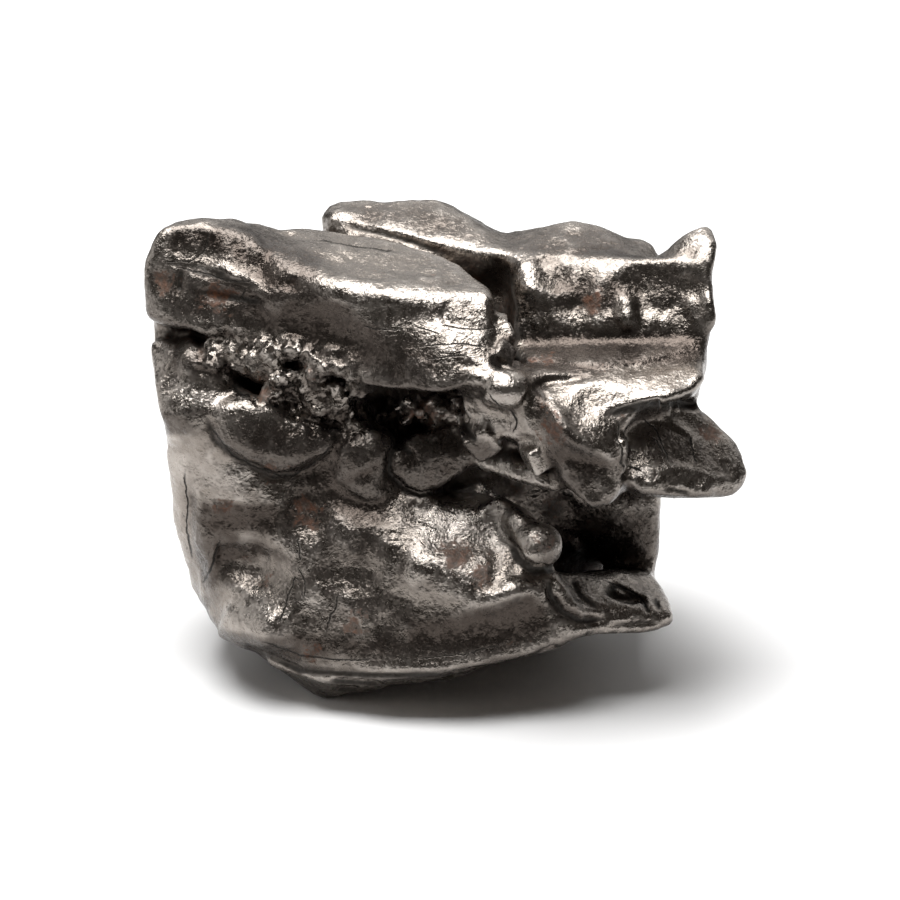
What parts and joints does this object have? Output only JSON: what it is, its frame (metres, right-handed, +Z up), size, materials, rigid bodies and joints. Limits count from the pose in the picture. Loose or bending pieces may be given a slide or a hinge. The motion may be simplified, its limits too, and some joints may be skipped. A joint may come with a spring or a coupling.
{
  "type": "iron meteorite",
  "caption": "Small shrapnel-like lump of nickel-iron with stacked plates, torn ledges, a deep recess and a worn flat that it stands on.",
  "frame": {"origin": "in the small flat that the lump stands on, under the middle of the lump", "axes": "+Z up, +X to the right as seen from the front, -Y to the front that shows the stacked plates"},
  "size_m": [0.0303, 0.02, 0.0237],
  "materials": {
    "iron": "dark worn nickel-iron, rubbed bright on the edges and faintly rusty in the hollows"
  },
  "bodies": {
    "root": {"meteorite": "iron"}
  },
  "joints": []
}
